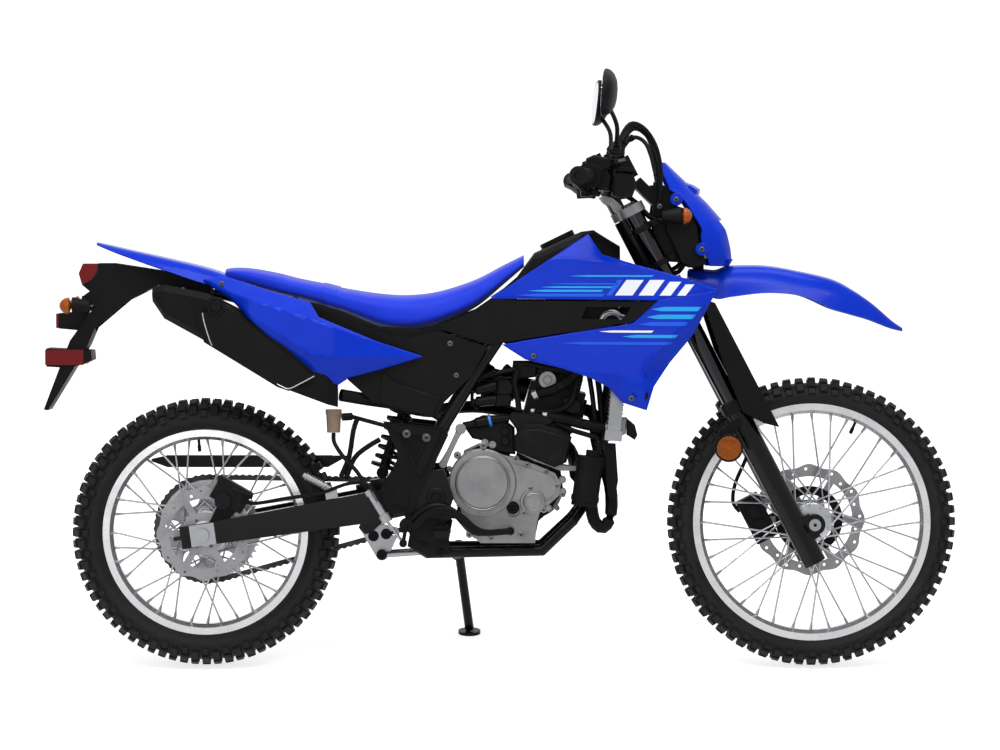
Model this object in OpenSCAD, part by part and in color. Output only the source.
// Dual sport motorcycle, parked on its side stand.
// Every piece is drawn on an upright machine: X forward from the middle of the wheelbase,
// Y to the rider's left, Z up from the ground. parked() then leans it over onto the stand.

/* [Machine] */
// Length of the swingarm from its pivot to the rear axle
swing_len = 552; // [540:1:580]
// Lean to the left when parked, in degrees
lean = 10; // [9:0.5:11]
// Rake of the steering axis from upright, in degrees
caster = 27.5; // [27:0.1:28]
// Distance from the steering axis to the fork tubes
fork_offset = 22; // [18:1:26]
// Distance from the fork tubes forward to the front axle
axle_lead = 40; // [34:1:44]

/* [Wheels] */
// Height of the front tyre above its bead seat
front_section = 69; // [62:1:76]
// Height of the rear tyre above its bead seat
rear_section = 82; // [74:1:88]
// Section width of the front tyre
front_tyre_w = 84; // [78:1:88]
// Section width of the rear tyre
rear_tyre_w = 112; // [104:1:114]
// Radius of the front rim's bead seat
front_rim_r = 272; // [268:1:274]
// Radius of the rear rim's bead seat
rear_rim_r = 234; // [230:1:236]
// Lug pitches round each tyre
lug_pitches = 30; // [24:2:34]
// Height of a tread lug
lug_h = 13; // [8:1:14]
// Spokes in each wheel
spokes = 36; // [28:4:36]
// Diameter of a spoke
spoke_d = 4; // [3:0.25:4.5]
// Radius of the front brake disc
front_disc_r = 133; // [128:1:136]
// Radius of the rear brake disc
rear_disc_r = 112; // [108:1:114]
// Thickness of a brake disc
disc_t = 4; // [3:0.5:5]

/* [Drive] */
// Pitch of the drive chain
chain_pitch = 15.875; // [15.875]
// Teeth on the rear sprocket
rear_teeth = 49; // [47:1:50]
// Teeth on the front sprocket
front_teeth = 14; // [13:1:15]
// Distance of the chain from the middle plane
chain_y = 74; // [73:0.5:75]

/* [Fork] */
// Distance between the two fork tubes
fork_span = 190; // [186:1:194]
// Diameter of the fork tubes
fork_d = 41; // [38:0.5:42]
// Diameter of the lower fork legs
leg_d = 54; // [50:1:56]
// Distance from the lower yoke up to the upper yoke, along the steering axis
yoke_gap = 196; // [186:1:204]
// Height of the handlebar's middle above the upper yoke
bar_rise = 55; // [46:1:66]
// Steering lock to each side, in degrees
steer_lock = 40; // [30:1:42]

/* [Chassis] */
// Diameter of the main frame tubes
frame_d = 32; // [28:1:34]
// Diameter of the rails under the seat
rail_d = 22; // [18:1:24]
// Down tube diameter
down_d = 34; // [30:1:38]
// Half the width between the swingarm's two arms
arm_gap = 87; // [86:0.5:88]
// Width of one swingarm arm
arm_w = 26; // [22:1:27]
// Height of a swingarm arm at its front
arm_h = 72; // [64:1:76]

/* [Stand] */
// Sideways reach of the stand foot from the middle plane
stand_reach = 285; // [270:1:300]
// Diameter of the side stand's leg
stand_d = 24; // [20:1:26]

/* [Hidden] */
$fn = 48;

black = "#17181a";
blue = "#1c2fd0";
silver = "#b4b6b8";
steel = "#8d8f92";
amber = "#e08010";

// Running gap between a turning hub and its axle, on the radius
run_gap = 0.05;
// Gap left between two pieces that sit against each other
seat_gap = 0.4;

// Contact with the ground: half the flat of a lug, and half the width of the centre lugs
lug_half_angle = 0.2 * 360 / lug_pitches;
front_crown = 20;
rear_crown = 28;
function drop(r, crown) = r * cos(lug_half_angle) * cos(lean) + crown * sin(lean);
front_r = front_rim_r + front_section;
rear_r = rear_rim_r + rear_section;
lift = drop(rear_r, rear_crown) - rear_r * cos(lean);
pivot = [-170, 0, 405];
rear_axle = [pivot[0] - sqrt(pow(swing_len, 2) - pow(pivot[2] - rear_r, 2)), 0, rear_r];

// The lower yoke stays with the frame; the fork is as long as the front wheel's height needs.
// The steering axis stands at x = 0 of its own frame, level with the axle at z = 0.
yoke_at = [363.5, 0, 880.4];
axle_x = fork_offset + axle_lead;
front_axle_z = (drop(front_r, front_crown) - lift) / cos(lean);
yoke_low = (yoke_at[2] + axle_x * sin(caster) - front_axle_z) / cos(caster);
yoke_high = yoke_low + yoke_gap;
steer_foot = yoke_at + yoke_low * [sin(caster), 0, -cos(caster)];
front_axle = steer_foot + axle_x * [cos(caster), 0, sin(caster)];
function steer(p) = steer_foot + [p[0] * cos(caster) - p[2] * sin(caster), p[1],
    p[0] * sin(caster) + p[2] * cos(caster)];

output_shaft = [-95, chain_y, 395];

// Middle of the whole parked machine, which becomes the origin
bar_half = 405;
middle_x = -20;
middle_y = 229;

module parked() translate([-middle_x, -middle_y, lift]) rotate([-lean, 0, 0]) children();
module steering() translate(steer_foot) rotate([0, -caster, 0]) children();
module both() {
    children();
    mirror([0, 1, 0]) children();
}

// Straight round bar between two points
module rod(a, b, d) {
    v = b - a;
    translate(a) rotate([0, acos(v[2] / norm(v)), atan2(v[1], v[0])])
        cylinder(d = d, h = norm(v));
}
// Bars through a list of points, with a knuckle at each bend
module tube_run(pts, d) {
    for (i = [0:len(pts) - 2]) rod(pts[i], pts[i + 1], d);
    for (i = [1:len(pts) - 2]) translate(pts[i]) sphere(d = d + 0.6);
}
// Round disc or bar across the machine, centred on y
module across(p, d, w) translate(p) rotate([90, 0, 0]) cylinder(d = d, h = w, center = true);
// Round bosses or bolt heads on a side face: points [x, z], diameter, from y0 to y1
module bosses(points, d, y0, y1) for (p = points) across([p[0], (y0 + y1) / 2, p[1]], d, abs(y1 - y0));
// Side outline given as [x, z], drawn between two values of y
module side_plate(outline, y0, y1)
    translate([0, max(y0, y1), 0]) rotate([90, 0, 0]) linear_extrude(abs(y1 - y0)) polygon(outline);
// Top outline given as [x, y], drawn between two heights
module top_plate(outline, z0, z1) translate([0, 0, z0]) linear_extrude(z1 - z0) polygon(outline);

// Skin over rings of points that all have the same count, closed at both ends
module loft(rings) {
    n = len(rings[0]);
    m = len(rings);
    polyhedron(
        points = [for (r = rings) for (p = r) p],
        faces = concat(
            [[for (i = [0:n - 1]) i]],
            [[for (i = [n - 1:-1:0]) (m - 1) * n + i]],
            [for (j = [0:m - 2]) for (i = [0:n - 1])
                each [[j * n + i, (j + 1) * n + i, (j + 1) * n + (i + 1) % n],
                    [j * n + i, (j + 1) * n + (i + 1) % n, j * n + (i + 1) % n]]]),
        convexity = 6);
}
// Points along a smooth curve through hand-set points
function bend(p0, p1, p2, p3, t) = 0.5 * (2 * p1 + (p2 - p0) * t
    + (2 * p0 - 5 * p1 + 4 * p2 - p3) * t * t + (3 * p1 - p0 - 3 * p2 + p3) * t * t * t);
function smooth(pts, steps) = [for (i = [0:len(pts) - 2]) for (k = [0:steps - (i == len(pts) - 2 ? 0 : 1)])
    bend(pts[max(i - 1, 0)], pts[i], pts[i + 1], pts[min(i + 2, len(pts) - 1)], k / steps)];
function unit(v) = v / norm(v);
// Round tube along points; side is a direction that the run never follows
function tube_rings(pts, r, sides, side) = [for (i = [0:len(pts) - 1])
    let (t = unit(pts[min(i + 1, len(pts) - 1)] - pts[max(i - 1, 0)]),
        u = unit(cross(t, side)), w = cross(t, u))
    [for (k = [0:sides - 1]) pts[i] + r * (cos(360 * k / sides) * u + sin(360 * k / sides) * w)]];
module hose(pts, d, sides = 10, steps = 4, side = [0, 1, 0])
    loft(tube_rings(smooth(pts, steps), d / 2, sides, side));

// Wheels. Each is drawn about its own axle at the origin.

// Height of the tread at a station round the wheel, for the centre row or the shoulder row
function raised(station, row) = (row == 0 && station < 2) || (row == 1 && station > 1) ? 1 : 0;
module tyre(r, w, rim_r, rim_w, crown) {
    // Angles of the four stations in one pitch, as shares of the pitch
    shares = [-0.2, 0.2, 0.3, 0.7];
    function ring(pitch, s) = let (a = -90 + 360 * (pitch + shares[s]) / lug_pitches,
            mid = r - lug_h * (1 - raised(s, 0)), edge = r - 9 - lug_h * (1 - raised(s, 1)))
        [for (q = [[rim_r, -rim_w / 2], [rim_r + 9, -rim_w / 2], [(rim_r + r) / 2 - 3, -w / 2 + 1], [edge, -w / 2],
            [mid, -crown], [mid, crown], [edge, w / 2], [(rim_r + r) / 2 - 3, w / 2 - 1],
            [rim_r + 9, rim_w / 2], [rim_r, rim_w / 2]]) [q[0] * cos(a), q[1], q[0] * sin(a)]];
    rings = [for (p = [0:lug_pitches - 1]) for (s = [0:3]) ring(p, s)];
    n = 10;
    m = len(rings);
    polyhedron(points = [for (g = rings) for (p = g) p],
        faces = [for (j = [0:m - 1]) for (i = [0:n - 1])
            each [[j * n + i, ((j + 1) % m) * n + i, ((j + 1) % m) * n + (i + 1) % n],
                [j * n + i, ((j + 1) % m) * n + (i + 1) % n, j * n + (i + 1) % n]]],
        convexity = 8);
}
// Rim section: a drop-centre channel with two bead walls, turned about the axle
module rim(bead_r, w) {
    wall = 5;
    well = 16;
    rotate([90, 0, 0]) rotate_extrude($fn = 96) polygon([
        [bead_r + 8, -w / 2], [bead_r + 8, -w / 2 + wall], [bead_r - seat_gap, -w / 2 + wall],
        [bead_r - seat_gap, -w / 4], [bead_r - well + 6, -w / 5], [bead_r - well + 6, w / 5],
        [bead_r - seat_gap, w / 4], [bead_r - seat_gap, w / 2 - wall], [bead_r + 8, w / 2 - wall],
        [bead_r + 8, w / 2], [bead_r - 8, w / 2], [bead_r - well, w / 5 + 3],
        [bead_r - well, -w / 5 - 3], [bead_r - 8, -w / 2]]);
}
// Hub with two flanges and its crossed spokes
module hub(flange_r, flange_y, body_r, half_w, bore_r, rim_bed, rim_half, bosses) {
    per_side = spokes / 2;
    lace = 62; // degrees by which a spoke runs ahead of or behind its hole
    difference() {
        union() {
            across([0, 0, 0], 2 * body_r, 2 * flange_y);
            across([0, 0, 0], 2 * bore_r + 16, 2 * half_w);
            for (s = [-1, 1]) across([0, s * flange_y, 0], 2 * flange_r, 6);
            // Each boss is [radius, y of its face]
            for (b = bosses) across([0, b[1] / 2 + sign(b[1]) * flange_y / 2, 0], 2 * b[0], abs(b[1]) - flange_y);
            for (s = [-1, 1]) for (i = [0:per_side - 1]) {
                turn = i % 2 == 0 ? 1 : -1;
                a = 360 * i / per_side + (s > 0 ? 180 / per_side : 0);
                b = a + turn * lace / 2 - turn * 31 + turn * 360 / per_side * 1.45;
                hole = [(flange_r - 5) * cos(a), s * (flange_y + turn * 2.6), (flange_r - 5) * sin(a)];
                seat = [(rim_bed - 4) * cos(b), s * rim_half, (rim_bed - 4) * sin(b)];
                rod(hole, seat, spoke_d);
            }
        }
        across([0, 0, 0], 2 * bore_r, 3 * half_w);
    }
}
// Petal brake disc with its carrier and two rings of holes
module brake_disc(r, petals, carrier_r, bolt_r, bore_r) {
    band = 30;
    outline = [for (i = [0:petals * 8 - 1]) let (a = 360 * i / (petals * 8),
        q = r - 3.5 + 3.5 * cos(petals * a)) [q * cos(a), q * sin(a)]];
    rotate([90, 0, 0]) difference() {
        translate([0, 0, -disc_t / 2]) linear_extrude(disc_t) polygon(outline);
        difference() {
            cylinder(r = r - band, h = 3 * disc_t, center = true);
            cylinder(r = carrier_r, h = 4 * disc_t, center = true);
            for (i = [0:5]) rotate(60 * i) translate([r / 2, 0, 0])
                cube([r + 2, 16, 4 * disc_t], center = true);
        }
        for (i = [0:petals * 2 - 1]) rotate(180 * (i + 0.25) / petals)
            translate([r - (i % 2 == 0 ? 12 : 20), 0, 0]) cylinder(d = 7, h = 3 * disc_t, center = true, $fn = 24);
        for (i = [0:5]) rotate(60 * i) translate([bolt_r, 0, 0])
            cylinder(d = 8, h = 3 * disc_t, center = true, $fn = 24);
        cylinder(r = bore_r, h = 3 * disc_t, center = true);
    }
}

front_axle_r = 7.5;
rear_axle_r = 8;
front_hub_half = 60;
rear_hub_half = arm_gap - 7;
// Width of the lug that holds the axle at the foot of each fork leg
lug_w = 34;
front_flange_y = 33;
rear_flange_y = 38;
front_disc_y = 56;
rear_disc_y = -72;
front_rim_w = 54;
rear_rim_w = 66;

module front_tyre() color(black) translate(front_axle) tyre(front_r, front_tyre_w, front_rim_r, front_rim_w - 14, front_crown);
module rear_tyre() color(black) translate(rear_axle) tyre(rear_r, rear_tyre_w, rear_rim_r, rear_rim_w - 14, rear_crown);
module front_rim() color(silver) translate(front_axle) rim(front_rim_r, front_rim_w);
module rear_rim() color(silver) translate(rear_axle) rim(rear_rim_r, rear_rim_w);
module front_hub() color(silver) translate(front_axle)
    hub(46, front_flange_y, 26, front_hub_half, front_axle_r + run_gap, front_rim_r - 10, 9,
        [[39, front_disc_y - disc_t / 2 - seat_gap]]);
module rear_hub() color(silver) translate(rear_axle)
    hub(58, rear_flange_y, 34, rear_hub_half, rear_axle_r + run_gap, rear_rim_r - 10, 11,
        [[42, rear_disc_y + disc_t / 2 + seat_gap], [60, chain_y - 2.5 - seat_gap]]);
module front_disc() color(steel) translate(front_axle + [0, front_disc_y, 0])
    brake_disc(front_disc_r, 12, 48, 32, front_axle_r + 10);
module rear_disc() color(steel) translate(rear_axle + [0, rear_disc_y, 0])
    brake_disc(rear_disc_r, 12, 50, 34, rear_axle_r + 10);

// Front axle: through both legs, hollow from end to end, with its spacers and end nuts
axle_half = fork_span / 2 + lug_w / 2 + 13;
module front_axle() color(steel) translate(front_axle) difference() {
    union() {
        across([0, 0, 0], 2 * front_axle_r, 2 * axle_half);
        for (s = [-1, 1]) {
            gap = fork_span / 2 - lug_w / 2 - front_hub_half;
            across([0, s * (front_hub_half + gap / 2), 0], 28, gap - 2 * seat_gap);
            across([0, s * (axle_half - 6), 0], 28, 12 - 2 * seat_gap);
        }
    }
    across([0, 0, 0], 8, 2 * fork_span);
}
module rear_axle() color(steel) translate(rear_axle) {
    arm_out = arm_gap + arm_w;
    across([0, 0, 0], 2 * rear_axle_r, 2 * arm_out + 30);
    for (s = [-1, 1]) {
        translate([0, s * (arm_out + 2.4), 0]) rotate([0, -8, 0]) cube([58, 4, 50], center = true);
        across([0, s * (arm_out + 11), 0], 30, 14);
        across([0, s * (rear_hub_half + arm_gap) / 2, 0], 32, arm_gap - rear_hub_half - 2 * seat_gap);
    }
}

// Drive

function pitch_r(teeth) = chain_pitch / (2 * sin(180 / teeth));
module sprocket(teeth, t) {
    r = pitch_r(teeth);
    linear_extrude(t, center = true) polygon([for (i = [0:teeth - 1]) for (k = [-1, 0, 1, 2])
        let (a = 360 * (i + [0, 0.28, 0.5, 0.72][k + 1]) / teeth, q = r + [-5, -4.2, 4, -4.2][k + 1])
        [q * cos(a), q * sin(a)]]);
}
module rear_sprocket() color(steel) translate(rear_axle + [0, chain_y, 0]) rotate([90, 0, 0]) difference() {
    sprocket(rear_teeth, 5);
    for (i = [0:5]) rotate(60 * i) translate([pitch_r(rear_teeth) - 40, 0, 0])
        cylinder(d = 40, h = 20, center = true);
    for (i = [0:5]) rotate(60 * i + 30) translate([50, 0, 0]) cylinder(d = 9, h = 20, center = true);
    cylinder(r = rear_axle_r + 10, h = 20, center = true);
}
module front_sprocket() color(steel) translate(output_shaft) rotate([90, 0, 0]) union() {
    sprocket(front_teeth, 5);
    translate([0, 0, -9]) cylinder(d = 34, h = 18);
}

// The chain's path: two arcs and two straight runs between the sprockets
chain_v = [output_shaft[0] - rear_axle[0], output_shaft[2] - rear_axle[2]];
chain_len = norm(chain_v);
chain_tilt = atan2(chain_v[1], chain_v[0]);
chain_spread = asin((pitch_r(rear_teeth) - pitch_r(front_teeth)) / chain_len);
// One side of the band, at a radius beyond the pitch line that swells at each pin
function chain_side(grow, wave) = let (
        big = pitch_r(rear_teeth) + grow, small = pitch_r(front_teeth) + grow,
        links_big = rear_teeth / 2 + 1, links_small = front_teeth / 2,
        links_run = chain_len * cos(chain_spread) / chain_pitch,
        up = chain_tilt + 90 - chain_spread, low = chain_tilt - 90 + chain_spread,
        tip = output_shaft, root = rear_axle)
    concat(
        [for (i = [0:2 * round(links_big)]) let (a = up + (360 - up + low) * i / (2 * round(links_big)),
            q = big + wave * (i % 2 == 0 ? 1 : -1)) [root[0] + q * cos(a), root[2] + q * sin(a)]],
        [for (i = [1:2 * round(links_run) - 1]) let (t = i / (2 * round(links_run)),
            q = wave * (i % 2 == 0 ? 1 : -1))
            [root[0] + big * cos(low), root[2] + big * sin(low)] * (1 - t)
            + [tip[0] + small * cos(low), tip[2] + small * sin(low)] * t + q * [cos(low), sin(low)]],
        [for (i = [0:2 * round(links_small)]) let (a = low + (up - low) * i / (2 * round(links_small)),
            q = small + wave * (i % 2 == 0 ? 1 : -1)) [tip[0] + q * cos(a), tip[2] + q * sin(a)]],
        [for (i = [1:2 * round(links_run) - 1]) let (t = 1 - i / (2 * round(links_run)),
            q = wave * (i % 2 == 0 ? 1 : -1))
            [root[0] + big * cos(up), root[2] + big * sin(up)] * (1 - t)
            + [tip[0] + small * cos(up), tip[2] + small * sin(up)] * t + q * [cos(up), sin(up)]]);
function chain_inside(grow) = let (big = pitch_r(rear_teeth) + grow, small = pitch_r(front_teeth) + grow,
        up = chain_tilt + 90 - chain_spread, low = chain_tilt - 90 + chain_spread)
    concat([for (i = [0:16]) let (a = up + (360 - up + low) * i / 16)
            [rear_axle[0] + big * cos(a), rear_axle[2] + big * sin(a)]],
        [for (i = [0:8]) let (a = low + (up - low) * i / 8)
            [output_shaft[0] + small * cos(a), output_shaft[2] + small * sin(a)]]);
plate_gap = 4.2; // half the clear width between the two rows of plates
plate_w = 4;
module chain() color(black) union() {
    for (s = [-1, 1]) difference() {
        y0 = chain_y + s * plate_gap;
        side_plate(chain_side(6, 1.6), y0, y0 + s * plate_w);
        side_plate(chain_inside(-6), y0 - s, y0 + s * (plate_w + 1));
    }
    for (side = [-1, 1]) for (i = [4:4:round(chain_len * cos(chain_spread) / chain_pitch) - 2]) {
        t = i * chain_pitch / (chain_len * cos(chain_spread));
        a = chain_tilt + side * (90 - chain_spread);
        r = pitch_r(rear_teeth) * (1 - t) + pitch_r(front_teeth) * t;
        c = rear_axle * (1 - t) + output_shaft * t;
        across([c[0] + r * cos(a), chain_y, c[2] + r * sin(a)], 9, 2 * plate_gap + 2);
    }
}

// Rear suspension

axle_slope = atan2(pivot[2] - rear_axle[2], pivot[0] - rear_axle[0]);
arm_len = norm([pivot[0] - rear_axle[0], pivot[2] - rear_axle[2]]);
// Lug under the cross beam that carries the relay crank on its pin
module hang_lug() {
    for (s = [-1, 1]) side_plate([[-300, 376], [-262, 372], [-322, 316], [-338, 311], [-354, 327], [-346, 342]],
        s * 22, s * 31);
    across(crank_at, 16 - 2 * run_gap, 62);
}
module swingarm() color(black) union() {
    swingarm_body();
    hang_lug();
}
module swingarm_body() difference() {
    translate(rear_axle) rotate([0, -axle_slope, 0]) union() {
        for (s = [-1, 1]) translate([0, s * (arm_gap + arm_w / 2), 0]) rotate([90, 0, 0])
            linear_extrude(arm_w, center = true)
                polygon([[-52, -26], [-52, 26], [20, 26], [arm_len - 150, arm_h / 2], [arm_len, arm_h / 2 - 8],
                    [arm_len + 26, 18], [arm_len + 26, -18], [arm_len, -arm_h / 2 + 8],
                    [arm_len - 150, -arm_h / 2], [20, -26]]);
        translate([arm_len - 118, 0, 0]) cube([44, 2 * arm_gap + 4, 56], center = true);
        across([arm_len, 0, 0], 34, 2 * arm_gap + 4);
        for (s = [-1, 1]) translate([arm_len - 132, s * 16, 38]) cube([36, 10, 40], center = true);
        // Chain slider on the left arm and adjuster bolts behind the axle
        translate([arm_len - 190, arm_gap - 4, arm_h / 2 - 2]) cube([180, 14, 12]);
        for (s = [-1, 1]) translate([-50, s * (arm_gap + arm_w / 2), 0]) rotate([0, -90, 0]) cylinder(d = 10, h = 20);
    }
    across(rear_axle, 2 * rear_axle_r + 0.6, 600);
    across(pivot, 17, 600);
}
// Relay crank under the swingarm, hung on its lug and tied to the frame by two struts
crank_at = [-338, 0, 327];
crank_tie = [-299, 0, 262];
module suspension_link() color(silver) difference() {
    union() {
        side_plate([[-352, 324], [-336, 341], [-273, 326], [-259, 312], [-286, 254], [-299, 248], [-312, 256]], -18, 18);
        bosses([[crank_at[0], crank_at[2]], [crank_tie[0], crank_tie[2]], [-272, 312]], 28, -20, 20);
        for (s = [-1, 1]) {
            rod([crank_tie[0], s * 27, crank_tie[2]], [-184, s * 27, 270], 14);
            across([crank_tie[0], s * 27, crank_tie[2]], 24, 13);
        }
        bosses([[-184, 271]], 7, -33, 33);
        across(crank_tie, 12, 60);
    }
    across(crank_at, 16, 90);
    across([-272, 0, 312], 14, 90);
}
// The guard stands over the chain's upper run, measured from the rear axle
module chain_guard() color(black) translate(rear_axle) {
    top = pitch_r(rear_teeth) + 52;
    lip = pitch_r(rear_teeth) + 24;
    side = chain_y - 12;
    reach = arm_len - 217;
    foot = 26 + (arm_h / 2 - 26) * 242 / (arm_len - 170) + seat_gap;
    union() {
        side_plate([[-135, lip + 14], [-97, lip], [reach - 50, lip], [reach, top], [-100, top], [-135, top - 8]],
            side, side + 3);
        translate([-100, side, top - 3]) cube([reach + 60, 26, 3]);
        // Leg that stands on the arm
        rotate([0, -axle_slope, 0]) side_plate([[240, foot], [262, foot], [262, top - 262 * tan(axle_slope)],
            [240, top - 262 * tan(axle_slope)]], side + 23, side + 30);
    }
}

shock_top = [-215, 0, 720];
shock_low = [-298, 0, 455];
module rear_shock() color(silver) {
    v = shock_top - shock_low;
    translate(shock_low) rotate([0, acos(v[2] / norm(v)), atan2(v[1], v[0])]) {
        h = norm(v);
        union() {
            cylinder(d = 16, h = h - 10);
            translate([0, 0, 12]) cylinder(d = 66, h = 8);
            translate([0, 0, 20]) cylinder(d = 24, h = 60);
            translate([0, 0, h - 130]) cylinder(d = 46, h = 88);
            translate([0, 0, h - 88]) cylinder(d = 66, h = 10);
            rotate([90, 0, 0]) cylinder(d = 28, h = 20, center = true);
            translate([0, 0, h]) rotate([90, 0, 0]) cylinder(d = 28, h = 20, center = true);
        }
        loft(tube_rings([for (i = [0:63]) [27 * cos(i * 40), 27 * sin(i * 40), 24 + (h - 116) * i / 63]],
            5, 6, [0, 0, 1]));
    }
}

// Frame

head_low = yoke_low + 24;
head_high = yoke_high - 2;
stem_r = 14;
side_y = 116;
pivot_y = arm_gap + arm_w + 3 + frame_d / 2;
module frame() color(black) difference() {
    union() {
        rod(steer([0, 0, head_low]), steer([0, 0, head_high]), 54);
        // Backbone rails from the head to the swingarm pivot
        both() {
            tube_run([steer([-6, 14, head_low + 36]), [90, 62, 818], [-20, 104, 782], [-75, side_y, 700],
                [-160, side_y + 2, 560], [-200, pivot_y, 450], [-205, pivot_y, 370], [-215, side_y + 8, 290]],
                frame_d);
            // Lower cradle rails
            tube_run([[210, 10, 475], [190, 36, 400], [150, 66, 345], [78, 78, 277], [-190, 88, 272],
                [-215, side_y + 8, 290]], 26);
            // Seat rails and their stays
            tube_run([[-20, 104, 782], [-230, 98, 756], [-450, 84, 820], [-690, 58, 880]], rail_d);
            tube_run([[-140, side_y, 578], [-280, 104, 660], [-450, 84, 820]], 18);
        }
        // Down tube
        tube_run([steer([0, 0, head_low + 45]), [262, 0, 810], [238, 0, 640], [210, 0, 475]], down_d);
        rod([210, -16, 475], [210, 16, 475], 34);
        // Cross tubes
        rod([-20, -104, 782], [-20, 104, 782], 22);
        rod([-450, -84, 820], [-450, 84, 820], 18);
        rod([-690, -58, 880], [-690, 58, 880], 18);
        // Shock tower
        rod([-190, -104, 742], [-190, 104, 742], 24);
        for (s = [-1, 1]) side_plate([[-240, 700], [-190, 760], [-170, 730], [-205, 696]], s * 12, s * 20);
        // Pivot plates
        both() side_plate([[-205, 470], [-150, 470], [-128, 405], [-150, 340], [-222, 330], [-222, 400]],
            pivot_y, pivot_y + frame_d / 2 + 2);
        across([-170, 0, 272], 20, 2 * side_y - 20);
        stand_bracket();
    }
    rod(steer([0, 0, head_low - 5]), steer([0, 0, head_high + 5]), 2 * (stem_r + run_gap));
    across(pivot, 17, 600);
}
guard_y = pivot_y + frame_d / 2 + 3;
module frame_guards() color(black) both() difference() {
    union() {
        side_plate([[-292, 584], [-150, 568], [-140, 552], [-186, 455], [-212, 400], [-216, 372], [-300, 367],
            [-320, 392], [-268, 473], [-256, 505]], guard_y, guard_y + 4);
        side_plate([[-280, 578], [-156, 562], [-204, 452], [-218, 470], [-250, 545]], guard_y + 3, guard_y + 9);
        side_plate([[-260, 482], [-228, 462], [-236, 382], [-272, 392]], guard_y + 3, guard_y + 7);
    }
    side_plate([[-256, 558], [-182, 547], [-214, 480]], guard_y + 3, guard_y + 12);
    side_plate([[-242, 548], [-200, 541], [-214, 500]], guard_y - 1, guard_y + 5);
}

// Engine

case_right = 72;
case_left = 56;
// The barrel stands at this tilt, on a deck at this height of its own axis
tilt = 14;
deck = 38;
module barrel() translate([60, 0, 440]) rotate([0, tilt, 0]) children();
module engine_case() color(steel) difference() {
    union() {
        side_plate([[-124, 350], [-106, 505], [-70, 522], [20, 520], [70, 500], [122, 465], [128, 420], [100, 372],
            [70, 345], [62, 305], [-80, 304], [-100, 322]], -case_right, case_left);
        side_plate([[-60, 515], [-10, 540], [20, 520], [-40, 500]], -30, 30);
    }
    barrel() translate([-70, -120, deck - seat_gap]) cube([150, 240, 100]);
}
clutch_at = [-61, 438];
pump_at = [56, 393];
cover_bolts = [[-56, 531], [-120, 501], [-141, 440], [-91, 317], [-24, 307], [92, 378], [127, 416], [126, 444],
    [48, 470], [-38, 526], [20, 369]];
// Round step on the right-hand cover, from the case face out to y
module step(at, r0, r1, y0, y1) translate([at[0], y0, at[1]]) rotate([90, 0, 0])
    rotate_extrude() polygon([[0, 0], [r0, 0], [r0, y0 - y1 - (r0 - r1)], [r1, y0 - y1], [0, y0 - y1]]);
module engine_covers() color(silver) {
    face = -case_right - seat_gap;
    // Right: clutch cover with its dished cap, pump cap, timing lobe and sump web
    difference() {
        union() {
            side_plate([[-112, 372], [-116, 438], [-112, 488], [-63, 514], [-20, 505], [0, 499], [62, 480], [108, 460],
                [122, 436], [118, 408], [96, 388], [76, 378], [66, 345], [62, 296], [-66, 296], [-94, 322]], face, -104);
            step(clutch_at, 79, 76, face, -116);
            step(clutch_at, 64, 58, face, -130);
            step(pump_at, 30, 28, face, -112);
            step(pump_at, 23, 20, face, -119);
            side_plate([[4, 399], [4, 484], [60, 468], [102, 452], [113, 432], [110, 414], [92, 400]], face, -109);
            bosses(cover_bolts, 17, face, -100);
            bosses(cover_bolts, 10, face, -106);
        }
        // Shallow dish in the cap, the filler recess and the level window
        translate([clutch_at[0], -129, clutch_at[1]]) rotate([90, 0, 0]) cylinder(r = 50, h = 4);
        translate([12, -96, 372]) rotate([90, 0, 0]) cylinder(r = 15, h = 30);
        side_plate([[-24, 330], [4, 330], [4, 338], [-24, 338]], -101, -140);
    }
    // Filler cap in its recess
    translate([12, -96.4, 372]) rotate([90, 0, 0]) difference() {
        cylinder(r = 12, h = 8);
        translate([-2.5, -20, 4]) cube([5, 40, 10]);
    }
    // Left: generator cover
    union() {
        translate([62, case_left + seat_gap, 410]) rotate([-90, 0, 0]) cylinder(r = 66, h = 34);
        translate([62, case_left + seat_gap, 410]) rotate([-90, 0, 0]) cylinder(r = 46, h = 42);
        side_plate([[-40, 320], [-40, 440], [20, 476], [62, 476], [62, 345], [30, 318]], case_left + seat_gap, 84);
        bosses([[-32, 330], [-32, 432], [28, 470], [112, 452], [116, 366], [30, 328]], 12, case_left + 6, 93);
    }
}
// Link bar between the case and the frame, on the right
module cylinder_block() color(black) union() {
    barrel() {
        translate([0, 0, (deck + 150) / 2]) cube([108, 112, 150 - deck], center = true);
        translate([3, 0, 188]) cube([132, 124, 77], center = true);
        translate([0, 0, 242]) cube([108, 104, 34], center = true);
        translate([65, 0, 188]) rotate([0, 90, 0]) cylinder(d = 46, h = 12);
        // Cam chain cover on the right and its round plug
        translate([0, -66, (deck + 160) / 2]) cube([98, 26, 160 - deck - 8], center = true);
        translate([-30, -48, 238]) rotate([90, 0, 0]) cylinder(d = 46, h = 22);
        translate([-30, -48, 238]) rotate([90, 0, 0]) cylinder(d = 38, h = 28);
        for (x = [-46, 46]) for (y = [-44, 44]) translate([x, y, 250]) cylinder(d = 15, h = 16);
        for (z = [60:14:140]) translate([0, 0, z]) cube([120, 122, 4], center = true);
    }
    // Box on the right of the barrel, with a raised lid
    side_plate([[14, 590], [20, 545], [38, 500], [92, 470], [112, 476], [148, 556], [140, 588], [96, 602]], -78, -92);
    side_plate([[30, 580], [34, 546], [48, 512], [92, 484], [106, 492], [134, 556], [128, 580], [92, 592]], -90, -97);
}

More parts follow.
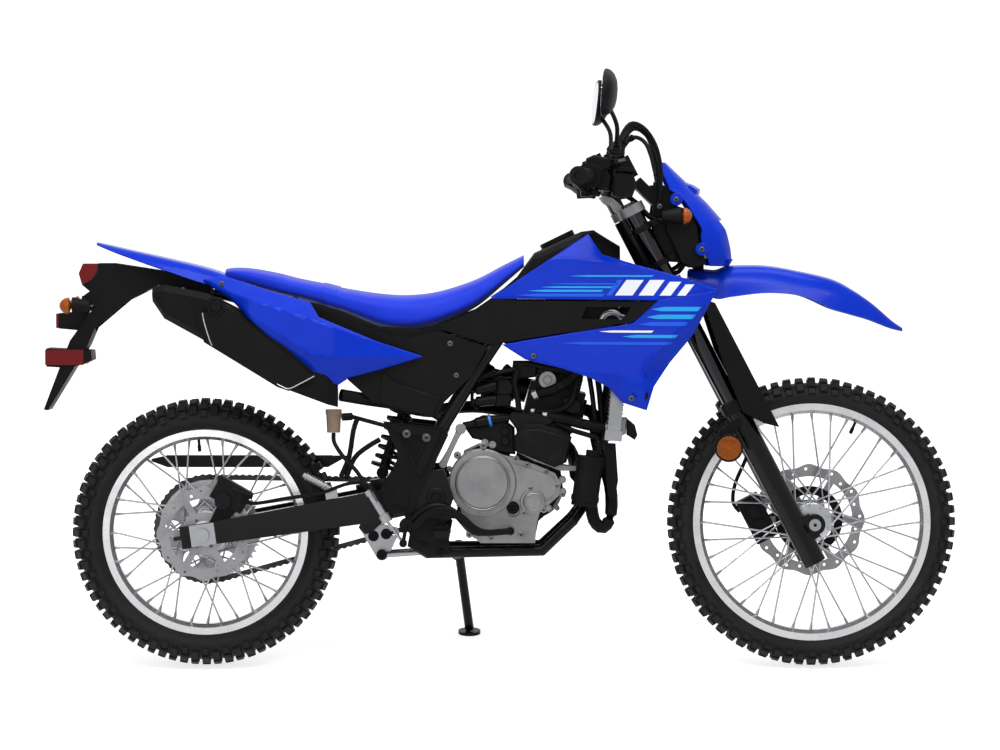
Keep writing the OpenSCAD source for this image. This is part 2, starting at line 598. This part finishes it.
module throttle_body() color(black) union() {
    rod([45.2, 0, 648.6], [-60, 0, 680], 58);
    rod([20, 0, 656.1], [8, 0, 659.7], 68);
    rod([-50, 0, 677], [-140, 0, 735], 66);
    for (k = [0:3]) rod([-66 - 16 * k, 0, 687 + 10.3 * k], [-72 - 16 * k, 0, 691 + 10.3 * k], 72);
    translate([-20, -40, 662]) cube([60, 40, 40], center = true);
    // Sensor and injector plugs on the right
    rod([-20, -50, 668], [-66, -70, 676], 24);
    rod([-10, -50, 640], [-62, -66, 636], 26);
    rod([10, -50, 690], [-8, -60, 706], 20);
    // Throttle wheel
    across([-20, -66, 662], 46, 8);
}
module radiator() color(silver) {
    both() translate([252, 75, 620]) rotate([0, 6, 0]) union() {
        cube([30, 92, 130], center = true);
        for (z = [-72, 72]) translate([0, 0, z]) cube([40, 96, 24], center = true);
        // Fins in front of the core
        for (k = [0:12]) translate([0, 0, -60 + 10 * k]) cube([34, 88, 2], center = true);
        // Lug on the frame's down tube
        across([-11.5, (down_d / 2 + seat_gap + 28.4) / 2 - 75, 72], 10, 28.4 - down_d / 2 - seat_gap);
    }
    // Outlet elbow under the right-hand tank, and its hose collar
    union() {
        rod([248, -92, 535.5], [248, -92, 566], 34);
        rod([248, -92, 552], [224, -94, 556], 27);
    }
}
module coolant_hoses() color(black) {
    hose([[104, -82, 618], [134, -100, 604], [172, -102, 568], [200, -96.2, 560], [223.3, -94, 556.2]], 26);
    hose([[63, -77.8, 648], [105, -90, 656], [150, -100, 682], [196, -96, 708], [226, -92, 701]], 24);
}
module canister() color(black) {
    union() {
        rod([192, -118, 500], [176, -118, 384], 62);
        rod([190.6, -118, 490], [189, -118, 478], 66);
        rod([179, -118, 408], [177.4, -118, 396], 66);
        rod([194, -118, 498], [196, -118, 514], 30);
    }
    // Heat shield beside the header pipe
    side_plate([[225, 531], [250, 529], [256, 442], [248, 398], [234, 402], [228, 440]], -96, -100);
    across([243, -88.4, 408], 10, 15.6);
}

exhaust_run = [[182.6, 0, 602.9], [189, 0, 601.3], [195, -10, 599], [204, -36, 584], [205, -50, 565], [206, -60, 538], [214, -62, 505], [238, -64, 430],
    [240, -68, 362], [222, -72, 330], [200, -74, 348], [190, -72, 400], [168, -40, 440], [158, 0, 452],
    [158, 50, 468], [146, 84, 505], [90, 90, 560], [20, 88, 590], [-60, 82, 606], [-125, 64, 606], [-176, 6, 600],
    [-215, -50, 606], [-270, -82, 622], [-330, -104, 632], [-391, -127, 643.5]];
module exhaust_pipe() color(black) hose(exhaust_run, 30, 10, 3, [0.2, 0.1, 1]);

silencer_x = [-830, -800, -781, -701, -516, -400];
function silencer_ring(x, zl, zh, y0, y1) = let (c = 14)
    [[x, y1, zl + c], [x, y1 + c, zl], [x, y0 - c, zl], [x, y0, zl + c], [x, y0, zh - c], [x, y0 - c, zh],
        [x, y1 + c, zh], [x, y1, zh - c]];
module silencer() color(black) {
    loft([silencer_ring(-828, 862, 896, -78, -150), silencer_ring(-800, 822, 900, -74, -160),
        silencer_ring(-700, 768, 880, -74, -176), silencer_ring(-520, 660, 790, -76, -182),
        silencer_ring(-420, 622, 700, -90, -168), silencer_ring(-398, 616, 672, -100, -156)]);
    // Guard panel on its outer side, and the round boss of the hanger bolt
    side_plate([[-722, 834], [-705, 768], [-535, 664], [-509, 655], [-450, 686], [-481, 716], [-646, 846]],
        -182.4, -188);
    union() {
        across([-679, -181, 851], 48, 6, $fn = 6);
        across([-679, -183, 851], 34, 10);
    }
}

// Bodywork

// Ring across the machine at x, for the seat and the tank
function belly(x, zt, zb, top_w, low_w, round) = let (h = zt - zb)
    [[x, -low_w, zb], [x, low_w, zb], [x, low_w * 0.4 + top_w * 0.6, zb + 0.5 * h],
        [x, top_w, zt - round], [x, top_w - round * 0.35, zt - round * 0.35], [x, top_w - round, zt - 1],
        [x, 0, zt], [x, -top_w + round, zt - 1], [x, -top_w + round * 0.35, zt - round * 0.35],
        [x, -top_w, zt - round], [x, -low_w * 0.4 - top_w * 0.6, zb + 0.5 * h]];
module seat() color(blue) union() {
    loft([
        belly(-664, 934, 920, 60, 58, 5), belly(-600, 934, 906, 92, 92, 12), belly(-493, 911, 872, 104, 104, 16),
        belly(-433, 897, 848, 107, 107, 18), belly(-432, 899.5, 848, 109, 109, 19),
        belly(-400, 893, 838, 110, 110, 19), belly(-399, 890.5, 838, 108, 108, 18),
        belly(-386, 888, 834, 108, 108, 18), belly(-300, 876, 806, 108, 112, 20), belly(-233, 872, 794, 100, 116, 20),
        belly(-162, 881, 814, 90, 112, 20), belly(-79, 908, 848, 78, 96, 18), belly(-9, 944, 902, 66, 78, 16),
        belly(36, 966, 940, 54, 60, 8)]);
    both() translate([-262, 60, 790]) cube([30, 16, 20]);
}
module fuel_tank() color(black) union() {
    loft([belly(-120, 818, 800, 80, 86, 6), belly(-60, 850, 812, 80, 86, 12), belly(20, 918, 868, 86, 92, 14),
        belly(60, 974, 872, 92, 96, 16), belly(120, 1002, 880, 98, 104, 18), belly(170, 1024, 890, 90, 104, 26),
        belly(200, 1028, 898, 54, 92, 22), belly(232, 1008, 908, 42, 60, 18), belly(262, 990, 934, 32, 44, 14)]);
    translate([118, 0, 998]) rotate([0, -26, 0]) cylinder(d = 86, h = 14);
    // Rubber pads on the frame rails
    both() rod([230.1, 34.6, 913.7], [234, 32.4, 903.6], 14);
}

shroud_outline = [[185, 1019], [-44, 868], [346, 865], [287, 811], [-16, 761], [39, 726], [121, 707], [192, 683],
    [232, 662], [263, 627], [320, 610], [315, 638], [334, 662], [374, 721], [428, 787], [480, 891], [405, 917],
    [310, 943], [216, 971]];
// Plan of the right-hand shroud: a thin wall that flares out towards the front
function flare(t) = [[-60, -127 - t], [80, -132 - t], [200, -152 - t], [330, -186 - t], [490, -204 - t]];
function wall_plan(t) = concat(flare(0), [for (i = [4:-1:0]) flare(t)[i]]);
module shrouds() color(blue) both() intersection() {
    side_plate(shroud_outline, -260, 0);
    top_plate(wall_plan(4), 560, 1060);
}
module scoops() color(black) both() difference() {
    intersection() {
        side_plate([[-160, 808], [-79, 840], [-44, 864], [342, 861], [288, 815], [-20, 765], [-49, 761], [-160, 797]],
            -260, 0);
        top_plate([[-170, -126], [-60, -126], [80, -131], [200, -151], [330, -185], [360, -189],
            [360, -185], [330, -181], [200, -147], [80, -127], [-60, -122], [-170, -122]], 700, 900);
    }
    side_plate([[180, 849], [285, 849], [262, 820], [169, 822]], -300, 0);
}
module side_covers() color(black) both() intersection() {
    side_plate([[-440, 845], [-386, 822], [-270, 783], [-228, 778], [-166, 794], [-53, 757], [-58, 740], [-88, 686],
        [-150, 627], [-167, 598], [-257, 608], [-316, 627], [-375, 679]], -300, 0);
    top_plate([[-445, -118], [-300, -132], [-160, -138], [-40, -138], [-40, -134], [-160, -134], [-300, -128], [-445, -114]],
        560, 900);
}
// The panel stands clear of the silencer's guard
panel_y = 188 + seat_gap;
module tail_panels() color(blue) both() {
    tail_panel();
    rod([-450, 84 + rail_d / 2 + seat_gap, 822], [-450, panel_y + 1, 822], 14);
}
module tail_panel() intersection() {
    side_plate([[-701, 912], [-646, 863], [-564, 780], [-493, 709], [-441, 669], [-398, 667], [-363, 683], [-202, 733],
        [-257, 757], [-375, 797], [-450, 834], [-516, 862], [-611, 892], [-658, 908]], -300, 0);
    top_plate([[-720, -100], [-600, -panel_y - 4], [-400, -panel_y - 4], [-190, -144], [-190, -140],
        [-400, -panel_y], [-600, -panel_y], [-720, -96]], 560, 960);
}
// Arch across the machine at x, closed along its lower edge
function arch(x, top, edge, w) = [for (k = [0:10]) let (a = 180 * k / 10)
    [x, w * cos(a), edge + (top - edge) * pow(abs(sin(a)), 0.7)]];
// Fender skin of thickness t through arches given as [x, top, edge, half width]
module fender(arches, t) difference() {
    n = len(arches) - 1;
    loft([for (q = arches) arch(q[0], q[1], q[2], q[3])]);
    loft([for (i = [0:n]) let (q = arches[i])
        arch(q[0] - (i == 0 ? 2 : 0) + (i == n ? 2 : 0), q[1] - t, q[2] - 2, q[3] - t)]);
}
module rear_fender() color(blue) fender([[-966, 994, 982, 40], [-900, 980, 964, 74], [-800, 958, 940, 92],
    [-700, 933, 913, 102], [-664, 919.3, 902.3, 102], [-625, 904.3, 890.3, 100]], 4);
lens_x = -1018;
module tail_carrier() color(black) union() {
    difference() {
        side_plate([[-930, 950], [-964, 950], [-965, 931], [-978, 911], [-1003, 900], [-984, 884], [-1001, 872],
            [-972, 849], [-1031, 768], [-1093, 606], [-1083, 604], [-989, 757], [-972, 797], [-894, 863], [-823, 898],
            [-764, 892], [-699.6, 870], [-699.6, 902], [-800, 930]], -46, 46);
        side_plate([[-952, 944], [-960, 912], [-975, 897], [-966, 884], [-979, 866], [-958, 850], [-982, 814],
            [-975, 780], [-890, 850], [-850, 886], [-840, 930]], -42, 42);
    }
    // Plate lamp, reflector arm and the stalks of the two indicators
    side_plate([[-1060, 832], [-1060, 796], [-1016, 792], [-990, 800], [-990, 838]], -20, 20);
    side_plate([[-1086, 750], [-1086, 707], [-1036, 704], [-1000, 712], [-979, 722], [-981, 745]], -50, 50);
    both() {
        rod([-992, 44, 858], [-994, 92, 852], 16);
        translate([lens_x, 105, 851]) rotate([0, 90, 0]) cylinder(d1 = 41, d2 = 24, h = 40);
    }
}
// Lens with a domed end, pointing along -x from the origin
module dome(d, h) rotate([0, -90, 0]) rotate_extrude() polygon(concat([[0, 0]],
    [for (i = [0:6]) [d / 2 * cos(15 * i), h * 0.25 + h * 0.75 * sin(15 * i)]], []));
module rear_amber_lenses() color(amber) both() translate([lens_x - seat_gap, 105, 851]) dome(39, 30);
module tail_lamps() color("#b01515") {
    side_plate([[-964.5, 949], [-965.5, 931.4], [-978.4, 911.6], [-1003, 901], [-1010, 926], [-1000, 949]], -42, 42);
    // Reflectors: both sides of the arm, and the back of the plate lamp
    both() side_plate([[-1088, 747], [-1088, 711], [-998, 711], [-998, 747]], 50 + seat_gap, 56);
    translate([-1066, -20, 797]) cube([6 - seat_gap, 40, 34]);
}
// Slot that a caliper leaves for its disc
module disc_slot(axle, y, r) across(axle + [0, y, 0], 2 * r + 12, disc_t + 10);
module rear_brake() color(black) difference() {
    union() {
        translate(rear_axle + [64, rear_disc_y, 92]) rotate([0, 30, 0]) cube([84, 40, 56], center = true);
        translate(rear_axle + [46, rear_disc_y - 16, 78]) rotate([90, 0, 0]) cylinder(d = 38, h = 18);
        translate(rear_axle + [92, rear_disc_y - 14, 96]) rotate([0, 110, 0]) cylinder(d = 16, h = 50, center = true);
        // Arm of the bracket down to the axle
        side_plate([for (q = [[100, 76], [64, 40], [28, 12], [12, 24], [30, 62], [60, 90]])
            [rear_axle[0] + q[0], rear_axle[2] + q[1]]], rear_disc_y - 7.2, -arm_gap + seat_gap);
    }
    disc_slot(rear_axle, rear_disc_y, rear_disc_r);
}
// Master cylinder of the rear brake, outside the right-hand guard, with its push rod, and
// the ribbed hose guide on the swingarm
master_y = -guard_y - 17.5;
module brake_master() color(silver) {
    union() {
        rod([-323, master_y, 419], [-282, master_y, 352], 18);
        rod([-291, master_y, 367], [-281, master_y, 350], 26);
        rod([-326, master_y, 424], [-320, master_y, 414], 23);
        across([-312, (master_y - guard_y - 4 - seat_gap) / 2, 402], 16, -master_y - guard_y - 4 - seat_gap);
        across([-299, (master_y - guard_y - 4 - seat_gap) / 2, 384], 14, -master_y - guard_y - 4 - seat_gap);
        rod([-281, master_y, 350], [-246, master_y, 303], 7);
        across([-245, master_y, 301], 18, 8);
    }
    // Along the arm's top edge
    translate(rear_axle) rotate([0, -axle_slope, 0]) translate([arm_len - 240, -arm_gap - arm_w / 2, arm_h / 2 - 1.4])
        union() {
            translate([-14, -11, 0]) cube([28, 22, 26]);
            rod([0, 0, 22], [-58, 0, 66], 13);
            for (k = [0:8]) rod([-10 - 5 * k, 0, 29.6 + 3.8 * k], [-12.4 - 5 * k, 0, 31.4 + 3.8 * k], 19);
        }
}
reservoir_at = [-408, -124];
module brake_reservoir() color("#c8b8a8") {
    translate([reservoir_at[0], reservoir_at[1], 556]) union() {
        cylinder(d1 = 31, d2 = 35, h = 42);
        translate([0, 0, 42]) cylinder(d = 38, h = 12);
    }
}
module rear_hoses() color(black) {
    // Bracket of the reservoir, out from the frame's lower stay
    union() {
        rod([reservoir_at[0] + 20.6, reservoir_at[1], 592], [reservoir_at[0] + 42, -115, 593], 18);
        rod([-368, -114, 593], [-284, -145.6, 572], 10);
    }
    // Feed from the reservoir to the master cylinder
    hose([[-408, -124, 554.4], [-406, -130, 532], [-384, -146, 500], [-352, -160, 466], [-327.2, master_y, 426.4]], 10,
        8, 4, [0, 0.3, 0.1]);
    // Brake hose from the master cylinder along the arm to the caliper
    hose([[-300, master_y - 14, 402], [-312, master_y - 17, 424], [-336, master_y - 12, 442], [-380, -140, 436], [-440, -126, 414], [-520, -122, 402],
        [-590, -118, 390], [-624, -104, 396]], 9, 8, 3, [0, 0.3, 1]);
    // Breather tubes down to the hose guide
    hose([[-352, -132, 590], [-362, -128, 560], [-372, -120, 500], [-392, -104, 452]], 12, 8, 3, [0, 1, 0]);
    hose([[-300, -128, 540], [-330, -124, 522], [-360.1, -118.5, 495.5], [-380.1, -102.5, 447.5]], 12, 8, 3, [0, 1, 0]);
}
foot_at = [-156, 325];
// Plate that carries the footrest, against the frame's pivot plate
foot_y = pivot_y + frame_d / 2 + 2 + seat_gap;
module footrests() color(steel) both() union() {
    side_plate([[-252, 352], [-236, 362], [-205, 364], [-150, 352], [-134, 330], [-140, 302], [-172, 300],
        [-206, 306], [-240, 330]], foot_y, foot_y + 8);
    for (z = [-13, 13]) translate([foot_at[0] - 15, foot_y + 6, foot_at[1] + z - 4]) cube([30, 22, 8]);
    translate([foot_at[0], foot_y + 20, foot_at[1]]) cylinder(d = 11, h = 40, center = true);
    difference() {
        translate([foot_at[0] - 18, foot_y + 14, foot_at[1] - 8]) cube([36, 62, 16]);
        translate([foot_at[0] - 12, foot_y + 30, foot_at[1] - 20]) cube([24, 40, 40]);
        for (k = [0:5]) translate([foot_at[0] - 30, foot_y + 30 + 8 * k, foot_at[1] + 5]) cube([60, 4, 8]);
    }
}
pedal_y = -foot_y - 8 - seat_gap - 9;
module pedals() color(black) {
    // Brake pedal on the right, with its arm back to the push rod
    union() {
        hose([[-238, pedal_y, 343], [-197, pedal_y, 379], [-162, pedal_y, 388], [-127, pedal_y + 3, 374],
            [-96, -152, 340], [-72, -147, 323], [2, -142, 327]], 15, 10, 3);
        across([-238, pedal_y, 343], 32, 18);
        rod([-238, pedal_y - 9, 343], [-245, pedal_y - 10, 301], 9);
        across([-245, pedal_y - 10, 301], 18, 9.6);
        across([4, -136, 327], 18, 34);
    }
    // Gear lever on the left
    union() {
        across([-60, case_left + seat_gap + 34, 340], 15, 68);
        rod([-60, 120, 340], [34, 124, 346], 12);
        across([34, 136, 346], 17, 40);
    }
}

// Steering

module yokes() color(silver) steering() {
    union() {
        translate([0, 0, yoke_low - 5]) cylinder(r = stem_r, h = yoke_high - yoke_low + 25);
        translate([0, -tongue[1] / 2, yoke_low - tongue[2]]) cube([tongue[0], tongue[1], tongue[2] + 4]);
        for (z = [yoke_low, yoke_high]) difference() {
            union() {
                translate([fork_offset / 2, 0, z + 11]) cube([46, fork_span - 20, 22], center = true);
                both() translate([fork_offset, fork_span / 2, z]) cylinder(d = fork_d + 20, h = 22);
                translate([0, 0, z]) cylinder(d = 52, h = 22);
            }
            both() translate([fork_offset, fork_span / 2, z - 1]) cylinder(d = fork_d + 2 * seat_gap, h = 24);
        }
    }
}
module fork_tubes() color(silver) steering() both()
    translate([fork_offset, fork_span / 2, 300]) cylinder(d = fork_d, h = yoke_high + 28 - 300);
module fork_legs() color(black) steering() both() difference() {
    union() {
        translate([fork_offset, fork_span / 2, -82]) cylinder(d = leg_d, h = 430);
        translate([fork_offset + axle_lead / 2, fork_span / 2, 0]) cube([axle_lead, lug_w, 60], center = true);
        translate([axle_x, fork_span / 2, 0]) rotate([90, 0, 0]) cylinder(d = 50, h = lug_w, center = true);
    }
    translate([fork_offset, fork_span / 2, 298]) cylinder(d = fork_d + 2 * seat_gap, h = 60);
    translate([axle_x, 0, 0]) rotate([90, 0, 0]) cylinder(r = front_axle_r + 0.3, h = 400, center = true);
}
bar_z = yoke_high + 22 + bar_rise;
bar_x = -8;
bar_path = [[bar_x, 0, bar_z], [bar_x, 58, bar_z], [-14, 170, bar_z + 47], [-32, 250, bar_z + 49],
    [-60, bar_half, bar_z + 62]];
// Radius and depth of the open ends of the bar
bar_bore = 8.6;
bar_depth = 40;
module handlebar() color(black) steering() difference() {
    union() {
        for (s = [-1, 1]) tube_run([for (p = bar_path) [p[0], s * p[1], p[2]]], 22);
        for (s = [-1, 1]) translate([bar_x + 3, s * 40, (yoke_high + 22 + seat_gap + bar_z + 16) / 2])
            cube([34, 22, bar_z + 16 - yoke_high - 22 - seat_gap], center = true);
    }
    both() {
        a = bar_path[3];
        b = bar_path[4];
        rod(b - bar_depth * unit(b - a), b + unit(b - a), 2 * bar_bore);
    }
}
module controls() color(black) steering() {
    both() bar_side();
    // Master cylinder of the front brake on the right, under its fluid box
    translate([42, -224, bar_z]) cube([26, 36, 52]);
    rod([18, -206, bar_z + 46], [46, -206, bar_z + 40], 16);
}
module bar_side() {
    a = bar_path[3];
    b = bar_path[4];
    c = bar_path[2];
    // Grip, with its flanges and rings
    difference() {
        union() {
            rod(a + 0.14 * (b - a), b, 32);
            rod(a + 0.12 * (b - a), a + 0.16 * (b - a), 58);
            for (k = [0:9]) rod(a + (0.24 + 0.07 * k) * (b - a), a + (0.26 + 0.07 * k) * (b - a), 35);
            rod(b - 0.03 * (b - a), b, 40);
        }
        rod(a, b + 0.5 * (b - a), 22 + 2 * seat_gap);
    }
    // Switch block and lever clamp on the inner straight, with its lever
    difference() {
        union() {
            rod(c + 0.3 * (a - c), c + 0.75 * (a - c), 40);
            translate(c + 0.5 * (a - c) + [2, -10, 8]) cube([34, 26, 30]);
        }
        rod(c - (a - c), c + 2 * (a - c), 22 + 2 * seat_gap);
    }
    rod(c + 0.5 * (a - c) + [16, 0, 0], c + 0.5 * (a - c) + [44, 4, -2], 18);
    tube_run([c + 0.5 * (a - c) + [40, 3, -2], c + [66, 96, -2], c + [46, 200, 2]], 10);
    // Socket of the mirror
    translate([41, 212, bar_z + 44]) cylinder(d = 18, h = 36);
    translate([24, 206, bar_z + 34]) cube([20, 18, 14]);
}
// Oval ring across the machine at x; the power squares its corners
function oval(x, cy, cz, ry, rz, k) = [for (i = [0:15]) let (a = 360 * i / 16, c = cos(a), s = sin(a))
    [x, cy + ry * sign(c) * pow(abs(c), k), cz + rz * sign(s) * pow(abs(s), k)]];
mirror_at = [85, 390, bar_z + 176];
module mirrors() color(black) steering() both() {
    tube_run([[41, 212, bar_z + 81.6], [44, 220, bar_z + 112], [62, 262, bar_z + 150],
        mirror_at + [6, -30, -4]], 10);
    translate(mirror_at) rotate([0, caster, 0]) loft([oval(-16, 0, 0, 58, 40, 0.6), oval(-8, 0, 0, 62, 44, 0.6),
        oval(6, 0, 0, 56, 38, 0.7), oval(16, 0, 0, 34, 22, 0.8)]);
}
lamp_window = [62, 960, 1050]; // half width, foot and top
stay_y = 64;
module headlight_cowl() color(blue) difference() {
    loft([cowl_ring(944, 452, 518, 96), cowl_ring(964, 440, 527, 104), cowl_ring(1010, 418, 520, 110),
        cowl_ring(1060, 398, 492, 104), cowl_ring(1130, 368, 424, 84), cowl_ring(1184, 352, 368, 52)]);
    loft([cowl_ring(942, 440, 510, 90), cowl_ring(964, 428, 519, 98), cowl_ring(1010, 406, 512, 104),
        cowl_ring(1060, 386, 484, 98), cowl_ring(1130, 356, 416, 78), cowl_ring(1186, 340, 360, 45)]);
    translate([450, -lamp_window[0], lamp_window[1]]) cube([120, 2 * lamp_window[0], lamp_window[2] - lamp_window[1]]);
}
// Ring of the headlight cowl at height z: its sides start at back_x and meet at front_x
function cowl_ring(z, back_x, front_x, w) = [[back_x, w, z], [back_x, -w, z],
    [front_x - (front_x - back_x) * 0.35, -w * 0.92, z], [front_x - (front_x - back_x) * 0.1, -w * 0.6, z],
    [front_x, 0, z], [front_x - (front_x - back_x) * 0.1, w * 0.6, z],
    [front_x - (front_x - back_x) * 0.35, w * 0.92, z]];
module front_lamps() color("#e8e8e8") union() {
    intersection() {
        loft([cowl_ring(950, 424, 510, 90), cowl_ring(1010, 402, 505, 100), cowl_ring(1070, 378, 472, 90)]);
        translate([440, 1 - lamp_window[0], lamp_window[1] + 1])
            cube([120, 2 * lamp_window[0] - 2, lamp_window[2] - lamp_window[1] - 2]);
    }
    translate([392, 0, 1004]) rotate([0, 78, 0]) cylinder(d = 84, h = 60);
    // Ears bolted between the plates of the stay
    both() across([404, stay_y - seat_gap - 12, 1006], 16, 24);
}
// Black stay behind the lamp: clamped to the fork tubes, with the dial box and the indicators
module headlight_stay() color(black) union() {
    steering() {
        both() {
            side_plate([[46, yoke_low + 58], [40, yoke_low + 118], [60, yoke_low + 178], [104, yoke_high + 46],
                [128, yoke_high + 8], [118, yoke_low + 130], [100, yoke_low + 60], [66, yoke_low + 46]], stay_y, stay_y + 5);
            for (z = [yoke_low + 60, yoke_low + 150]) difference() {
                union() {
                    translate([fork_offset, fork_span / 2, z]) cylinder(d = fork_d + 12, h = 14);
                    translate([fork_offset, stay_y, z]) cube([40, fork_span / 2 - 60, 14]);
                }
                translate([fork_offset, fork_span / 2, z - 1]) cylinder(d = fork_d + 2 * seat_gap, h = 20);
            }
        }
        for (q = [[54, yoke_low + 132], [88, yoke_high + 36]]) across([q[0], 0, q[1]], 12, 132);
        // Dial box, tilted to the rider
        translate([74, 0, yoke_high + 34]) rotate([0, -18, 0]) cube([26, 128, 66], center = true);
    }
    both() {
        rod([380, 66, 1056], [376, 116, 1060], 15);
        // Screw boss of the cowl
        across([396, (stay_y + 2 + 90.8) / 2, 1070], 10, 88.8 - stay_y);
        translate([357, 128, 1060]) rotate([0, 90, 0]) cylinder(d1 = 24, d2 = 41, h = 43);
    }
}
module front_amber_lenses() color(amber) both() {
    translate([400 + seat_gap, 128, 1060]) rotate([0, 0, 180]) dome(39, 26);
    // Round reflector beside the fork leg
    steering() translate([reflector_at[0], fork_span / 2 + leg_d / 2 + 4 + seat_gap, reflector_at[1]])
        rotate([-90, 0, 0]) cylinder(d = 56, h = 7);
}
// Guards in front of the fork legs, each with its clamp and the plate of its reflector
reflector_at = [-34, 253];
guard_plan = [[30, 33], [66, 36], [94, 16], [94, -16], [70, -33], [66, -30], [90, -14], [90, 14], [64, 32], [30, 29]];
module fork_guards() color(black) steering() both() {
    intersection() {
        side_plate([[34, 311], [66, 266], [97, 238], [99, 563], [72, 590], [40, 400]], 0, 200);
        translate([0, fork_span / 2, 230]) linear_extrude(380) polygon(guard_plan);
    }
    difference() {
        union() {
            translate([fork_offset, fork_span / 2, 318]) cylinder(d = leg_d + 10, h = 26);
            translate([fork_offset, fork_span / 2 - 8, 322]) cube([89.6 - fork_offset, 16, 18]);
        }
        translate([fork_offset, fork_span / 2, 300]) cylinder(d = leg_d + 2 * seat_gap, h = 60);
    }
    translate([0, fork_span / 2 + leg_d / 2 + seat_gap, 0])
        side_plate([[-62, 253], [-54, 279], [-34, 300], [22, 306], [22, 290], [-8, 276], [-6, 250], [-20, 228], [-48, 228]], 0, 4);
}
// The two lines from the right-hand lever that loop over to the headlamp
module bar_hoses() color(black) {
    for (k = [0, 1]) hose([[259, -211 + 13 * k, 1200], [256, -206 + 13 * k, 1234], [280, -182 + 12 * k, 1272 - 8 * k],
        [312, -156 + 12 * k, 1264 - 10 * k], [340, -130 + 11 * k, 1226 - 8 * k], [354, -112 + 11 * k, 1170],
        [352, -98 + 11 * k, 1100], [347, -85 + 10.6 * k, 1061]], 10, 8, 4, [0.2, 1, 0]);
}
// The fender hangs from a tongue under the lower yoke
tongue = [92, 60, 8];
module front_fender() color(blue) {
    back = steer([62, 0, yoke_low - tongue[2] - seat_gap]);
    mid = steer([tongue[0] + 4, 0, yoke_low - tongue[2] - seat_gap]);
    fender([[back[0], back[2], 868, 48], [mid[0], mid[2], 868, 54], [488, 930, 866, 64], [523, 942, 872, 76],
        [606, 941, 880, 80], [688, 927, 872, 82], [759, 910, 842, 78], [806, 886, 828, 70], [854, 851, 814, 56],
        [900, 812, 796, 36], [920, 799, 790, 20]], 4);
}
module front_brake() color(black) difference() {
    union() {
        translate(front_axle + [-124, front_disc_y, 4]) rotate([0, -caster, 0]) cube([56, 38, 112], center = true);
        steering() for (z = [36, 86]) translate([-26, front_disc_y + 8, z]) cube([20.6, 32, 16]);
        steering() for (z = [42, 80]) translate([-48, front_disc_y - 26, z]) rotate([-90, 0, 0]) cylinder(d = 32, h = 52);
    }
    disc_slot(front_axle, front_disc_y, front_disc_r);
}

// Side stand: the leg runs from its bolt down, out and a little forward to a foot flat on the ground

stand_bolt = [-120, 158, 262];
// Turns a point on the ground of the parked machine back to the upright one
function unpark(p) = let (q = p + [middle_x, middle_y, -lift])
    [q[0], q[1] * cos(lean) - q[2] * sin(lean), q[1] * sin(lean) + q[2] * cos(lean)];
stand_foot = unpark([-95 - middle_x, stand_reach - middle_y, 0]);
stand_down = unit(stand_foot - stand_bolt);
stand_up = unit([-0.985, 0.1, 0.14]);
stand_axis = unit(cross(stand_down, stand_up));
stand_eye = 26;
stand_pin_r = 6;
module side_stand() color(black) difference() {
    union() {
        rod(stand_bolt, stand_foot + [0, 0, 12], stand_d - 2);
        rod(stand_bolt - stand_axis * stand_eye / 2, stand_bolt + stand_axis * stand_eye / 2, 34);
        translate(stand_foot) rotate([lean, 0, 0]) cylinder(d = 54, h = 8);
    }
    rod(stand_bolt - stand_axis * stand_eye, stand_bolt + stand_axis * stand_eye, 2 * (stand_pin_r + run_gap));
}
// Bracket under the left cradle rail and the bolt that the stand turns on
module stand_bracket() {
    face = stand_bolt - stand_axis * (stand_eye / 2 + seat_gap);
    rod([-120, 84, 272], face - stand_axis * 13, 24);
    rod(face - stand_axis * 14, face, 30);
    rod(face - stand_axis, stand_bolt + stand_axis * (stand_eye / 2 + 2), 2 * stand_pin_r);
    rod(stand_bolt + stand_axis * (stand_eye / 2 + seat_gap), stand_bolt + stand_axis * (stand_eye / 2 + 8), 20);
}

parked() frame();
parked() engine_case();
parked() engine_covers();
parked() cylinder_block();  // cylinder
parked() throttle_body();
parked() radiator();
parked() coolant_hoses();
parked() canister();
parked() exhaust_pipe();
parked() silencer();
parked() swingarm();
parked() rear_axle();
parked() chain();
parked() front_sprocket();
parked() chain_guard();
parked() rear_shock();
parked() fuel_tank();
parked() shrouds();
parked() scoops();
parked() side_covers();
parked() tail_panels();
parked() seat();
parked() rear_fender();
parked() tail_carrier();
parked() tail_lamps();
parked() rear_brake();
parked() brake_master();
parked() brake_reservoir();
parked() rear_hoses();
parked() suspension_link();
parked() footrests();
parked() pedals();
parked() frame_guards();
parked() rear_amber_lenses();
parked() yokes();
parked() fork_tubes();
parked() fork_legs();
parked() front_axle();
parked() handlebar();
parked() controls();
parked() mirrors();
parked() headlight_cowl();
parked() headlight_stay();
parked() front_lamps();
parked() front_amber_lenses();
parked() front_fender();
parked() fork_guards();
parked() front_brake();
parked() bar_hoses();
parked() front_tyre();
parked() front_rim();
parked() front_hub();
parked() front_disc();
parked() rear_tyre();
parked() rear_rim();
parked() rear_hub();
parked() rear_disc();
parked() rear_sprocket();
parked() side_stand();
